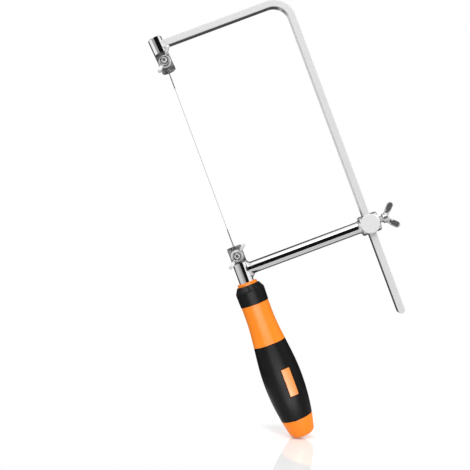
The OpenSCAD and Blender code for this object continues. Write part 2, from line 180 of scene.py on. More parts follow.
class ClampSizes(bpy.types.PropertyGroup):
    """Sizes of bolts, nuts, washers and the wing screw"""

    bolt_radius: length("Bolt radius", "Outer radius of the clamp bolts' thread", 0.002)
    thread_pitch: length("Thread pitch", "Distance between two turns of the thread", 0.0007)
    thread_depth: length("Thread depth", "Depth of the thread", 0.00032)
    bolt_tip: length("Bolt tip", "Length of the cone at the end of a bolt", 0.0006)
    nut_radius: length("Nut radius", "Radius of a nut's hub at its foot", 0.0039)
    nut_top_radius: length("Nut top radius", "Radius of a nut's hub at its top", 0.0034)
    nut_height: length("Nut height", "Height of a nut's hub", 0.0054)
    nut_wing_reach: length(
        "Nut wing reach", "Distance of a wing's tip from the nut's axis", 0.0086)
    nut_wing_rise: length("Nut wing rise", "Height of a wing's tip above the nut's foot", 0.009)
    nut_wing_breadth: length("Nut wing breadth", "Breadth of a nut's wing", 0.0034)
    nut_wing_thickness: length("Nut wing thickness", "Thickness of a nut's wing", 0.0024)
    lower_turn: angle("Lower nut turn", "Turn of the lower nut's wings from the blade", 50)
    upper_turn: angle("Upper nut turn", "Turn of the upper nut's wings from the blade", 39)
    screw_shank_radius: length("Shank radius", "Radius of the wing screw's shank", 0.0025)
    hub_radius: length("Hub radius", "Radius of the wing screw's hub at its foot", 0.0036)
    hub_top_radius: length("Hub top radius", "Radius of the wing screw's hub at its top", 0.0031)
    hub_gap: length("Hub gap", "Gap between the collar and the hub", 0.0034)
    hub_height: length("Hub height", "Height of the wing screw's hub", 0.0042)
    hub_edge: length("Hub edge", "Rounding of the wing screw's hub", 0.0005)
    screw_pitch: length(
        "Screw pitch", "Distance between two turns of the wing screw's thread", 0.0011)
    screw_depth: length("Screw depth", "Depth of the wing screw's thread", 0.00042)
    screw_wing_reach: length(
        "Screw wing reach", "Distance of a wing's tip from the screw's axis", 0.0075)
    screw_wing_rise: length(
        "Screw wing rise", "Height of a wing's tip above the hub's foot", 0.0084)
    screw_wing_breadth: length("Screw wing breadth", "Breadth of a screw's wing", 0.0045)
    screw_wing_thickness: length("Screw wing thickness", "Thickness of a screw's wing", 0.0026)
    cast_grain: length("Cast grain", "Mesh size of the cast wings", 0.00022)


class BladeSizes(bpy.types.PropertyGroup):
    """Sizes of the looped wire blade"""

    strand_radius: length("Strand radius", "Radius of a strand in the twist", 0.00025)
    loop_strand_radius: length("Loop strand radius", "Radius of the wire in a loop", 0.00032)
    loop_radius: length("Loop radius", "Radius of a loop at its wire's middle", 0.00335)
    loop_middle: length("Loop middle", "Distance of a loop's middle from its bolt", 0.00095)
    loop_neck: length(
        "Loop neck", "Distance from a loop's middle to where its wires meet", 0.007)
    twist_pitch: length("Twist pitch", "Length of one turn of the twist", 0.0026)
    spiral_pitch: length("Spiral pitch", "Length of one turn of the cutting wire", 0.0016)
    tooth_share: share(
        "Tooth share", "Depth of the teeth as a share of the wire's radius", 0.22)


class Finishes(bpy.types.PropertyGroup):
    """Colours of the finishes"""

    orange: colour("Orange", "Moulded plastic of the handle's core", (1.0, 0.25, 0.008))
    black: colour("Black", "Soft rubber of the sleeves", (0.0052, 0.0052, 0.0056))
    chrome: colour("Chrome", "Polished plate of the rods and the collar", (0.86, 0.86, 0.87))
    plate: colour("Plate", "Satin plate of the bow", (0.72, 0.72, 0.72))
    zinc: colour("Zinc", "Bright plate of the clamps", (0.78, 0.78, 0.79))
    steel: colour("Steel", "Drawn steel of the blade", (0.42, 0.4, 0.38))


class StageSettings(bpy.types.PropertyGroup):
    """Camera, light and floor"""

    camera_distance: length(
        "Camera distance", "Distance of the camera from the saw's plane", 0.54)
    camera_x: length("Camera across", "Place of the camera towards the spine", 0.00386)
    camera_z: length("Camera height", "Height of the camera above the grip's middle", 0.10975)
    camera_roll: angle("Camera roll", "Lean of the saw in the picture", 20.4)
    view_width: length("View width", "Width of the picture in the saw's plane", 0.33905)
    ambient: share("Ambient", "Brightness of the light from all round", 0.62)


class FretSaw(bpy.types.PropertyGroup):
    """All settings of the fret saw"""

    handle: PointerProperty(type=HandleSizes)
    frame: PointerProperty(type=FrameSizes)
    clamps: PointerProperty(type=ClampSizes)
    blade: PointerProperty(type=BladeSizes)
    finishes: PointerProperty(type=Finishes)
    stage: PointerProperty(type=StageSettings)


class Value:
    """A shader's number, which Python's operators turn into Math nodes."""

    def __init__(self, shader, socket):
        self.shader = shader
        self.socket = socket

    def __add__(self, other):
        return self.shader.math("ADD", self, other)

    def __radd__(self, other):
        return self.shader.math("ADD", other, self)

    def __sub__(self, other):
        return self.shader.math("SUBTRACT", self, other)

    def __rsub__(self, other):
        return self.shader.math("SUBTRACT", other, self)

    def __mul__(self, other):
        return self.shader.math("MULTIPLY", self, other)

    def __rmul__(self, other):
        return self.shader.math("MULTIPLY", other, self)


class Shader:
    """A node tree that is written as expressions."""

    def __init__(self, tree):
        self.tree = tree
        self.tree.nodes.clear()

    def node(self, kind, settings=None, sockets=None, out=0):
        """Adds a node, sets its settings, fills or links its sockets, and returns an output."""
        made = self.tree.nodes.new(kind)
        for key, value in (settings or {}).items():
            setattr(made, key, value)
        for key, value in (sockets or {}).items():
            socket = self.find(made.inputs, key)
            if isinstance(value, Value):
                self.tree.links.new(value.socket, socket)
            else:
                socket.default_value = value
        return Value(self, self.find(made.outputs, out)) if len(made.outputs) else made

    @staticmethod
    def find(sockets, key):
        """A socket by its number, its identifier or its name."""
        if isinstance(key, int):
            return sockets[key]
        return next(s for s in sockets if key in (s.identifier, s.name))

    def math(self, operation, first, second=0.0):
        """A Math node of two numbers."""
        return self.node("ShaderNodeMath", {"operation": operation}, {0: first, 1: second})

    def size(self, value):
        """A number without its sign."""
        return self.math("ABSOLUTE", value)

    def reach(self, first, second):
        """The distance that two numbers at right angles span."""
        return self.math("SQRT", first * first + second * second)

    def mix(self, factor, first, second):
        """A mix of two colours."""
        return self.node("ShaderNodeMix", {"data_type": "RGBA"},
                         {"Factor_Float": factor, "A_Color": first, "B_Color": second},
                         "Result_Color")

    def shades(self, factor, value, low, high):
        """A mix of two shades of one colour, each given by its gain."""
        return self.mix(factor, rgba(value, low), rgba(value, high))

    def place(self):
        """Coordinates that ride on the object, in metres."""
        return self.node("ShaderNodeTexCoord", out="Object")

    def noise(self, place, scale, detail, roughness=0.5):
        """Even noise from 0 to 1."""
        return self.node(
            "ShaderNodeTexNoise", None,
            {"Vector": place, "Scale": scale, "Detail": detail, "Roughness": roughness}, "Fac")

    def stretched(self, place, stretch):
        """Coordinates scaled apart along the axes."""
        return self.node("ShaderNodeVectorMath", {"operation": "MULTIPLY"}, {0: place, 1: stretch})

    def axes(self, place, names="XYZ"):
        """The named numbers of a coordinate."""
        return [self.node("ShaderNodeSeparateXYZ", None, {0: place}, axis) for axis in names]

    def step(self, value, low, high):
        """A smooth step from 0 at low to 1 at high."""
        return self.node("ShaderNodeMapRange", {"interpolation_type": "SMOOTHSTEP"},
                         {"Value": value, "From Min": low, "From Max": high})

    def bump(self, height, distance):
        """A bump whose height of 1 is a distance in metres."""
        return self.node("ShaderNodeBump", None,
                         {"Height": height, "Distance": distance, "Strength": 1.0})

    def surface(self, sockets):
        """Ends the tree in a Principled surface."""
        self.close(self.node("ShaderNodeBsdfPrincipled", None, sockets))

    def close(self, shader):
        """Ends the tree in a shader."""
        self.node("ShaderNodeOutputMaterial", None, {"Surface": shader})


def rgba(value, gain):
    """A property's colour as four numbers, brightened or darkened."""
    return (*(min(1.0, channel * gain) for channel in value), 1.0)


def orange_plastic(shader, looks, rough=0.3, gloss=0.26):
    """Semi-gloss moulded plastic with slow clouding and a fine eroded grain."""
    place = shader.place()
    cloud = shader.noise(place, scale=70.0, detail=3.0)
    grain = shader.noise(place, scale=3200.0, detail=2.0, roughness=0.6)
    shader.surface({
        "Base Color": shader.shades(cloud, looks.orange, low=0.93, high=1.06),
        "Roughness": rough + 0.08 * cloud + 0.04 * grain,
        "Specular IOR Level": gloss,
        "Normal": shader.bump(grain, distance=0.000006),
    })


def window_plastic(shader, looks):
    """The same plastic with the satin face that the window keeps from its mould."""
    orange_plastic(shader, looks, rough=0.45, gloss=0.9)


def black_rubber(shader, looks):
    """Soft matt rubber with a fine pebbled grain and a trace of dust."""
    place = shader.place()
    cloud = shader.noise(place, scale=110.0, detail=4.0)
    grain = shader.noise(place, scale=2600.0, detail=3.0, roughness=0.65)
    shader.surface({
        "Base Color": shader.shades(cloud, looks.black, low=0.7, high=1.5),
        "Roughness": 0.3 + 0.1 * cloud + 0.05 * grain,
        "Specular IOR Level": 0.1,
        "Normal": shader.bump(grain, distance=0.000009),
    })


def polished_chrome(shader, looks, skin_depth=0.00004, root=0.0035, fade=0.0005):
    """Mirror plate with faint smears, ground dull on the clamping flats and darkened there by
    random patches of painted shade.

    A flat starts above the arm and ends at its root; both edges fade.
    """
    place = shader.place()
    smear = shader.noise(shader.stretched(place, (40.0, 40.0, 25.0)), scale=1.0, detail=3.0)
    line = shader.noise(shader.stretched(place, (3000.0, 3000.0, 60.0)), scale=1.0, detail=2.0)
    x, y, z = shader.axes(place)
    off_flat = shader.size(y - bpy.context.scene.fret_saw.frame.flat_depth)
    ground = (shader.step(off_flat, 2 * skin_depth, skin_depth)
              * shader.step(z, ARM_HIGH.z, ARM_HIGH.z + 2 * fade)
              * shader.step(x, ARM_LOW.x + root + fade, ARM_LOW.x + root))
    plate = shader.shades(smear, looks.chrome, low=0.96, high=1.03)
    # The duller, rougher grind is the flats' own finish; the dark random patches on it are painted
    # shade.
    patch = shader.step(shader.noise(place, scale=320.0, detail=2.0), low=0.36, high=0.62)
    ground_with_painted_shade = shader.shades(patch, looks.plate, low=0.14, high=0.5)
    shader.surface({
        "Base Color": shader.mix(ground, plate, ground_with_painted_shade),
        "Metallic": 1.0 - 0.75 * ground,
        "Roughness": 0.04 + 0.04 * smear + ground * (0.28 + 0.06 * line),
        "Normal": shader.bump(line * 0.1, distance=0.0000006),
    })


def collar_plate(shader, looks, skin_depth=0.0003, fade=0.0001):
    """The plate on the collar, soft on its sides and turned to satin on its round faces."""
    place = shader.place()
    smear = shader.noise(place, scale=200.0, detail=3.0)
    x, y, z = shader.axes(place)
    skin_low = COLLAR_HIGH.y - skin_depth
    face = shader.step(shader.size(y), skin_low - fade, skin_low)
    radius = shader.reach(x - (COLLAR_LOW.x + COLLAR_HIGH.x) / 2, z - ARM_Z)
    outward = shader.node("ShaderNodeCombineXYZ", None, {"X": radius})
    turned = shader.noise(outward, scale=9000.0, detail=2.0)
    plate = shader.shades(smear, looks.chrome, low=0.92, high=1.02)
    shader.surface({
        "Base Color": shader.mix(face, plate, rgba(looks.plate, gain=1.1)),
        "Metallic": 0.9 - 0.75 * face,
        "Roughness": 0.16 + 0.08 * smear + face * (0.2 + 0.06 * turned),
        "Normal": shader.bump(turned * face * 0.5, distance=0.0000006),
    })


def brazed_plate(shader, looks):
    """Pale, clouded plate over the brazed corners, softer than on the rods."""
    smear = shader.noise(shader.place(), scale=300.0, detail=3.0)
    shader.surface({
        "Base Color": shader.shades(smear, looks.chrome, low=0.97, high=1.06),
        "Metallic": 0.95,
        "Roughness": 0.1 + 0.06 * smear,
        "Normal": shader.bump(smear, distance=0.000002),
    })


def plated_bar(shader, looks, skin_depth=0.0002, fade=0.0003, line_scale=5200.0, run_scale=45.0):
    """Plate with drawing lines that follow the bar round its bend, satin on the broad faces."""
    sizes = bpy.context.scene.fret_saw.frame
    place = shader.place()
    x, y, z = shader.axes(place)
    inset = sizes.bar_thickness / 2 + sizes.bend_radius
    past_x = shader.math("MAXIMUM", x - (BOW_HIGH.x - inset), 0.0)
    past_z = shader.math("MAXIMUM", z - (BOW_HIGH.z - inset), 0.0)
    drawn = shader.node("ShaderNodeCombineXYZ", None, {
        "X": shader.reach(past_x, past_z) * line_scale,
        "Y": y * line_scale,
        "Z": (x - z) * run_scale})
    line = shader.noise(drawn, scale=1.0, detail=3.0, roughness=0.6)
    cloud = shader.noise(place, scale=60.0, detail=3.0)
    skin_low = BOW_HIGH.y - skin_depth
    face = shader.step(shader.size(y), skin_low - fade, skin_low)
    shader.surface({
        "Base Color": shader.shades(0.75 * cloud + 0.25 * line, looks.plate, low=0.97, high=1.03),
        "Metallic": 1.0 - 0.85 * face,
        "Roughness": 0.12 + 0.04 * line + 0.05 * cloud + 0.3 * face,
        "Normal": shader.bump(line, distance=0.0000002),
    })


def cast_zinc(shader, looks, gains, metallic, rough, uneven):
    """Bright plate over small castings, a little uneven."""
    place = shader.place()
    cast = shader.noise(place, scale=700.0, detail=3.0)
    speck = shader.noise(place, scale=5200.0, detail=2.0)
    shader.surface({
        "Base Color": shader.shades(cast, looks.zinc, *gains),
        "Metallic": metallic,
        "Roughness": rough + uneven * cast + 0.04 * speck,
        "Normal": shader.bump(cast + 0.1 * speck, distance=0.000004),
    })


def zinc_hardware(shader, looks):
    """Cast plate on the bolts and the wing screw."""
    cast_zinc(shader, looks, gains=(0.9, 1.08), metallic=0.9, rough=0.13, uneven=0.1)


def nut_zinc(shader, looks, hub=0.0041, fade=0.0008):
    """Cast plate on the wing nuts, bright on the hubs and tumbled on the wings."""
    x, z = shader.axes(shader.place(), "XZ")
    middle = (CLAMPS["lower"]["z"] + CLAMPS["upper"]["z"]) / 2
    up = shader.size(z - middle) - (CLAMPS["upper"]["z"] - middle)
    wings = shader.step(shader.reach(x, up), hub, hub + fade)
    cast_zinc(shader, looks, gains=(0.95, 1.12), metallic=0.95 - 0.6 * wings,
              rough=0.12 + 0.2 * wings, uneven=0.08)


def satin_zinc(shader, looks):
    """Plate tumbled to a soft sheen, for the washers."""
    place = shader.place()
    cloud = shader.noise(place, scale=900.0, detail=3.0)
    speck = shader.noise(place, scale=6000.0, detail=2.0)
    shader.surface({
        "Base Color": shader.shades(cloud, looks.zinc, low=1.0, high=1.16),
        "Metallic": 0.25,
        "Roughness": 0.3 + 0.1 * cloud,
        "Normal": shader.bump(speck, distance=0.000004),
    })


def blade_steel(shader, looks, fade=0.002):
    """Drawn steel, brighter on the cutting wire than on the loops and twists."""
    place = shader.place()
    z, = shader.axes(place, "Z")
    wire = (shader.step(z, WIRE_LOW.z, WIRE_LOW.z + fade)
            * shader.step(z, WIRE_HIGH.z, WIRE_HIGH.z - fade))
    cloud = shader.noise(shader.stretched(place, (2000.0, 2000.0, 300.0)), scale=1.0, detail=3.0)
    tint = shader.noise(place, scale=160.0, detail=2.0)
    twist = shader.shades(cloud, looks.steel, low=0.7, high=1.25)
    shader.surface({
        "Base Color": shader.mix(wire, twist, rgba(looks.steel, gain=1.3)),
        "Metallic": 1.0 - 0.7 * wire,
        "Roughness": 0.26 + 0.14 * cloud + 0.08 * tint,
        "Normal": shader.bump(cloud, distance=0.000006),
    })


FINISH_MAKERS = {make.__name__: make for make in (
    orange_plastic, window_plastic, black_rubber, polished_chrome, collar_plate, brazed_plate,
    plated_bar, zinc_hardware, nut_zinc, satin_zinc, blade_steel)}


def finish(name):
    """The material of that name, made at its first use."""
    found = bpy.data.materials.get("finish_" + name)
    if found is None:
        found = bpy.data.materials.new("finish_" + name)
        found.use_nodes = True
        FINISH_MAKERS[name](Shader(found.node_tree), bpy.context.scene.fret_saw.finishes)
    return found


def dress_node(node, name):
    """Gives a solid part that stays in view its finish."""
    part = frame["nodes"][node]
    part.data.materials.clear()
    part.data.materials.append(finish(name))


def full_turn(steps):
    """Angles spread evenly round a full turn."""
    return [math.tau * k / steps for k in range(steps)]


def circle(radius, z, steps):
    """Points of a level circle round Z."""
    return [Vector((radius * math.cos(a), radius * math.sin(a), z)) for a in full_turn(steps)]


def skin(rings, ends="caps"):
    """Points and faces through rings of equally many points, closed by caps or joined."""
    count = len(rings[0])
    points = [point for ring in rings for point in ring]
    faces = []
    for i in range(len(rings) if ends == "joined" else len(rings) - 1):
        near = i * count
        far = (i + 1) % len(rings) * count
        for k in range(count):
            n = (k + 1) % count
            faces.append((near + k, near + n, far + n, far + k))
    if ends == "caps":
        faces.append(tuple(range(count)))
        faces.append(tuple(range(len(points) - count, len(points))))
    return points, faces


def lathe(profile, ends="caps"):
    """A solid of revolution round Z through (radius, height) points."""
    return skin([circle(r, z, ROUND_STEPS) for r, z in profile], ends)


def thick_grid(outer, inner, wrap=False, skipped=()):
    """A closed shell between two grids of points, open where cells are skipped."""
    rows = len(outer)
    columns = len(outer[0])
    points = [point for grid in (outer, inner) for row in grid for point in row]
    spans = columns if wrap else columns - 1
    cells = [(i, k) for i in range(rows - 1) for k in range(spans) if (i, k) not in skipped]
    filled = set(cells)

    def number(side, corner):
        return (side * rows + corner[0]) * columns + corner[1] % columns

    faces = []
    for i, k in cells:
        corners = [(i, k), (i, k + 1), (i + 1, k + 1), (i + 1, k)]
        faces.append([number(0, c) for c in corners])
        faces.append([number(1, c) for c in reversed(corners)])
        for side, (di, dk) in enumerate([(-1, 0), (0, 1), (1, 0), (0, -1)]):
            beside = (i + di, (k + dk) % columns if wrap else k + dk)
            if beside not in filled:
                a, b = corners[side], corners[(side + 1) % 4]
                faces.append([number(0, b), number(0, a), number(1, a), number(1, b)])
    return points, faces


def rounded(corners, steps=4, most=0.49):
    """A profile whose corners, given as (radius, height, rounding), become short curves.

    A rounding takes up no more than a share of the sides next to it.
    """
    points = [Vector(corners[0][:2])]
    for before, corner, after in zip(corners, corners[1:], corners[2:]):
        middle = Vector(corner[:2])
        ways = [Vector(other[:2]) - middle for other in (before, after)]
        cut = corner[2] if len(corner) > 2 else 0.0
        if cut:
            start, end = (middle + way.normalized() * min(cut, most * way.length) for way in ways)
            for i in range(steps + 1):
                s = i / steps
                points.append((1 - s) ** 2 * start + 2 * s * (1 - s) * middle + s ** 2 * end)
        else:
            points.append(middle)
    return points + [Vector(corners[-1][:2])]


def finer(points, step):
    """A line of points with none further apart than a step."""
    found = [points[0]]
    for a, b in zip(points, points[1:]):
        parts = max(1, math.ceil((b - a).length / step))
        found += [a.lerp(b, i / parts) for i in range(1, parts + 1)]
    return found


def tube(path, radii, steps=10):
    """A round wire along a path, with a radius at each point."""
    rings = []
    side = None
    for i, point in enumerate(path):
        ahead = (path[min(i + 1, len(path) - 1)] - path[max(i - 1, 0)]).normalized()
        side = ahead.orthogonal() if side is None else side - ahead * side.dot(ahead)
        side.normalize()
        up = ahead.cross(side)
        rings.append([point + radii[i] * (math.cos(a) * side + math.sin(a) * up)
                      for a in full_turn(steps)])
    return skin(rings)


def moved(shell, matrix):
    """A shell set in another place."""
    points, faces = shell
    return [matrix @ point for point in points], faces


def add_piece(name, shells, finish_name, body, nodes, sharp=SHARP_ANGLE):
    """Adds a piece made of closed shells, which rides on a body and stands for solid parts."""
    work = bmesh.new()
    for points, faces in shells:
        corners = [work.verts.new(point) for point in points]
        for face in faces:
            work.faces.new([corners[i] for i in face])
    bmesh.ops.remove_doubles(work, verts=work.verts, dist=WELD_DISTANCE)
    bmesh.ops.delete(work, geom=[v for v in work.verts if not v.link_faces], context="VERTS")
    bmesh.ops.recalc_face_normals(work, faces=work.faces)
    mesh = bpy.data.meshes.new(name)
    work.to_mesh(mesh)
    work.free()
    mesh.shade_smooth()
    mesh.set_sharp_from_angle(angle=math.radians(sharp))
    mesh.materials.append(finish(finish_name))
    piece = bpy.data.objects.new(name, mesh)
    bpy.context.scene.collection.objects.link(piece)
    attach(piece, body)
    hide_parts(*nodes)
    return piece


def soften_edges(piece, width, segments=3):
    """Rounds a piece's sharp edges."""
    bevel = piece.modifiers.new("rounded edges", "BEVEL")
    bevel.width = width
    bevel.segments = segments
    bevel.limit_method = "ANGLE"
    bevel.angle_limit = math.radians(SHARP_ANGLE)
    bevel.use_clamp_overlap = False
    even_shading(piece)


def even_shading(piece):
    """Keeps large faces flat to the eye next to small roundings."""
    normals = piece.modifiers.new("even shading", "WEIGHTED_NORMAL")
    normals.keep_sharp = False


def cast_together(piece, grain, factor=0.5, passes=5):
    """Melts a piece's shells into one casting with soft inner corners."""
    union = piece.modifiers.new("one casting", "REMESH")
    union.mode = "VOXEL"
    union.voxel_size = grain
    union.use_smooth_shade = True
    smooth = piece.modifiers.new("soft corners", "SMOOTH")
    smooth.factor = factor
    smooth.iterations = passes
    graph = bpy.context.evaluated_depsgraph_get()
    mesh = bpy.data.meshes.new_from_object(piece.evaluated_get(graph))
    piece.modifiers.clear()
    piece.data = mesh
    mesh.shade_smooth()


def at_bolt(clamp):
    """Turns what stands on +Z to stand on -Y, from the blade's middle at a bolt."""
    return Matrix.Translation((0, 0, clamp["z"])) @ Matrix.Rotation(math.pi / 2, 4, "X")


def handle_radius(sizes, z):
    """Radius of the handle's outline at a height."""
    ease_top = NECK_LOW.z - sizes.waist_straight
    if z >= ease_top:
        return sizes.waist_radius
    if z >= sizes.belly_height:
        eased = (1 - math.cos(math.pi * (ease_top - z) / (ease_top - sizes.belly_height))) / 2
        return sizes.waist_radius + (sizes.belly_radius - sizes.waist_radius) * eased
    arc = math.sqrt(sizes.tail_arc ** 2 - (sizes.belly_height - z) ** 2)
    return sizes.belly_radius - sizes.tail_arc + arc


def outline(sizes, low, high, inset=0.0, steps=28):
    """Points of the handle's outline between two heights, set in from its surface."""
    heights = [low + (high - low) * i / steps for i in range(steps + 1)]
    return [(handle_radius(sizes, z) - inset, z) for z in heights]


def butt_edge(sizes, steps=10):
    """The rounded edge of the butt, and the height at which it joins the long arc."""
    size = sizes.butt_round
    slope = math.asin((sizes.belly_height - CORE_LOW.z - size) / sizes.tail_arc)
    join = CORE_LOW.z + size * (1 - math.sin(slope))
    middle = handle_radius(sizes, join) - size * math.cos(slope)
    turns = [-math.pi / 2 + (math.pi / 2 - slope) * i / steps for i in range(steps)]
    edge = [(middle + size * math.cos(a), CORE_LOW.z + size * (1 + math.sin(a))) for a in turns]
    return edge, join


def on_handle(radius, turn, z):
    """A point at a radius, a turn from the front towards the spine, and a height."""
    return Vector((radius * math.sin(turn), -radius * math.cos(turn), z))


class FRETSAW_OT_core(bpy.types.Operator):
    """Moulds the orange core with its butt, waist, ring and window face"""

    bl_idname = "fretsaw.core"
    bl_label = "Handle core"

    def execute(self, context):
        sizes = context.scene.fret_saw.handle
        edge, join = butt_edge(sizes)
        profile = [(0.0, CORE_LOW.z)] + edge + outline(sizes, join, GRIP_LOW.z)
        profile += outline(sizes, GRIP_LOW.z, GRIP_HIGH.z, sizes.sleeve_wall)
        profile += outline(sizes, GRIP_HIGH.z, NECK_LOW.z)
        profile += [(sizes.ring_radius, NECK_LOW.z), (sizes.ring_radius, CORE_HIGH.z)]
        profile += [(STEM_RADIUS, CORE_HIGH.z), (STEM_RADIUS, STEM_LOW.z), (0.0, STEM_LOW.z)]
        for name, shell, look in (
                ("core_moulding", lathe(profile), "orange_plastic"),
                ("window_moulding", self.window_face(sizes), "window_plastic")):
            piece = add_piece(name, [shell], look, "handle", ["handle_core"])
            soften_edges(piece, sizes.edge_round)
        return {"FINISHED"}

    @staticmethod
    def window_face(sizes, rows=17, columns=9, root=1.2):
        """The face that fills the window, rooted a little deeper than the sleeve's wall."""
        half_width = sizes.window_width / 2 - sizes.window_gap
        half_height = sizes.window_height / 2 - sizes.window_gap
        grids = []
        for inset in (sizes.window_sink, sizes.sleeve_wall * root):
            grid = []
            for i in range(rows):
                z = -sizes.window_drop + half_height * (2 * i / (rows - 1) - 1)
                radius = handle_radius(sizes, z) - inset
                half_turn = math.asin(half_width / radius)
                turns = [sizes.window_turn + half_turn * (2 * k / (columns - 1) - 1)
                         for k in range(columns)]
                grid.append([on_handle(radius, turn, z) for turn in turns])
            grids.append(grid)
        return thick_grid(*grids)


class FRETSAW_OT_grip(bpy.types.Operator):
    """Moulds the black grip sleeve with its window"""

    bl_idname = "fretsaw.grip"
    bl_label = "Grip sleeve"

    def execute(self, context):
        sizes = context.scene.fret_saw.handle
        half = sizes.window_height / 2
        window = [-sizes.window_drop - half, -sizes.window_drop + half]
        heights = self.heights(window)
        turns = self.turns(sizes)

        def grid(inset):
            return [[self.at(sizes, z, inset, *turn) for turn in turns] for z in heights]

        columns = [k for k, (_, side) in enumerate(turns) if side]
        skipped = {(i, k) for i in range(heights.index(window[0]), heights.index(window[1]))
                   for k in range(columns[0], columns[1])}
        shell = thick_grid(grid(0.0), grid(sizes.sleeve_wall), True, skipped)
        piece = add_piece("grip_moulding", [shell], "black_rubber", "handle", ["grip_sleeve"])
        soften_edges(piece, sizes.edge_round)
        return {"FINISHED"}

    @staticmethod
    def turns(sizes, apart=0.75):
        """Turns round the sleeve, each with the side of the window that it stands for, or 0.

        Even turns that are less than a share of a step from a side make way for it.
        """
        half_turn = math.asin(sizes.window_width / 2 / sizes.belly_radius)
        least = apart * math.tau / ROUND_STEPS
        found = [(turn - math.pi, 0) for turn in full_turn(ROUND_STEPS)]
        for side in SIDES:
            edge = sizes.window_turn + side * half_turn
            found = [t for t in found if t[1] or abs(t[0] - edge) > least]
            found.append((edge, side))
        return sorted(found)

    @staticmethod
    def heights(window, rows=32):
        """Even heights up the sleeve, where those near the window's ends make way for them."""
        span = GRIP_HIGH.z - GRIP_LOW.z
        found = [GRIP_LOW.z + span * i / rows for i in range(rows + 1)]
        least = span / rows / 2
        return sorted([z for z in found if all(abs(z - w) > least for w in window)] + window)

    @staticmethod
    def at(sizes, z, inset, turn, side):
        """A point of the sleeve, with the window's edges kept parallel."""
        radius = handle_radius(sizes, z) - inset
        if side:
            turn = sizes.window_turn + side * math.asin(sizes.window_width / 2 / radius)
        return on_handle(radius, turn, z)


class FRETSAW_OT_neck(bpy.types.Operator):
    """Moulds the black neck sleeve with its ring of flutes"""

    bl_idname = "fretsaw.neck"
    bl_label = "Neck sleeve"

    def execute(self, context):
        sizes = context.scene.fret_saw.handle
        edge = sizes.edge_round
        shoulder = NECK_HIGH.z - sizes.neck_chamfer
        inside = sizes.ring_radius
        profile = finer(rounded([
            (inside, NECK_LOW.z), (sizes.neck_low_radius, NECK_LOW.z, edge),
            (NECK_HIGH.x, shoulder, 2 * edge), (sizes.neck_top_radius, NECK_HIGH.z, edge),
            (inside, NECK_HIGH.z)]), PROFILE_STEP)
        columns = self.columns(sizes)
        outer = []
        for radius, z in profile:
            sunk = min(1.0, max(0.0, (z - shoulder) / edge + 1.0))
            outer.append([self.at(sizes, radius, z, sunk, *column) for column in columns])
        inner = [[on_handle(inside - edge, turn, z) for turn, _ in columns] for _, z in profile]
        add_piece("neck_moulding", [thick_grid(outer, inner, True)], "black_rubber", "handle",
                  ["neck_sleeve"], sharp=35.0)
        return {"FINISHED"}

    @staticmethod
    def at(sizes, radius, z, sunk, turn, across):
        """A point of the sleeve, sunk by a share of the depth where it lies in a flute."""
        if across is None:
            return on_handle(radius, turn, z)
        size = sizes.flute_radius
        depth = math.sqrt(size ** 2 - across ** 2) - size + sizes.flute_depth
        here = max(radius - max(0.0, depth) * sunk, sizes.ring_radius)
        return on_handle(here, turn + math.asin(across / radius), z)

    @staticmethod
    def columns(sizes, fine=4, between=6):
        """Turns round the sleeve, with the distance from a flute's middle for those in a flute."""
        size = sizes.flute_radius
        half = math.sqrt(size ** 2 - (size - sizes.flute_depth) ** 2)
        pitch = math.tau / sizes.flute_count
        half_turn = math.asin(half / sizes.neck_top_radius)
        gap = pitch - 2 * half_turn
        found = []
        for i in range(sizes.flute_count):
            found += [(i * pitch, half * k / fine) for k in range(-fine, fine + 1)]
            found += [(i * pitch + half_turn + gap * (k + 1) / (between + 1), None)
                      for k in range(between)]
        return found


class FRETSAW_OT_rods(bpy.types.Operator):
    """Polishes the stem, the arm, the collar and the post"""

    bl_idname = "fretsaw.rods"
    bl_label = "Rods and collar"

    def execute(self, context):
        for node in ("handle_stem", "lower_arm", "upper_post"):
            dress_node(node, "polished_chrome")
        dress_node("frame_collar", "collar_plate")
        return {"FINISHED"}


class FRETSAW_OT_fillet(bpy.types.Operator):
    """Runs a fillet round the joint of arm and stem"""

    bl_idname = "fretsaw.fillet"
    bl_label = "Stem fillet"

    def execute(self, context):
        sizes = context.scene.fret_saw.frame
        rings = [self.section(sizes, turn) for turn in full_turn(FILLET_STEPS)]
        add_piece("stem_fillet", [skin(rings, "joined")], "brazed_plate", "handle",
                  ["stem_braze"], sharp=50.0)
        return {"FINISHED"}

    @staticmethod
    def section(sizes, turn, steps=28, lift=0.00002):
        """The fillet's section where a ball, rolling round the arm, all but touches both rods."""
        out = Vector((0, math.cos(turn), math.sin(turn)))
        ball = sizes.fillet_low + (sizes.fillet_top - sizes.fillet_low) * (1 + out.z) / 2
        middle = (ARM_RADIUS + lift + ball) * out + Vector((0, 0, ARM_Z))
        reach = STEM_RADIUS + lift + ball
        middle.x = math.sqrt(reach ** 2 - middle.y ** 2)
        from_stem = Vector((middle.x, middle.y, 0)) / reach
        points = [middle - ball * out.slerp(from_stem, i / steps) for i in range(steps + 1)]
        # Two more points root the section in the rods
        points.append(points[-1] - from_stem * ball / 4)
        points.append(points[0] - out * ball / 4)
        flat_foot = CLAMPS["lower"]["z"] - sizes.flat_foot
        for point in points:
            if point.z > flat_foot:
                point.y = max(point.y, sizes.flat_depth)
        return points


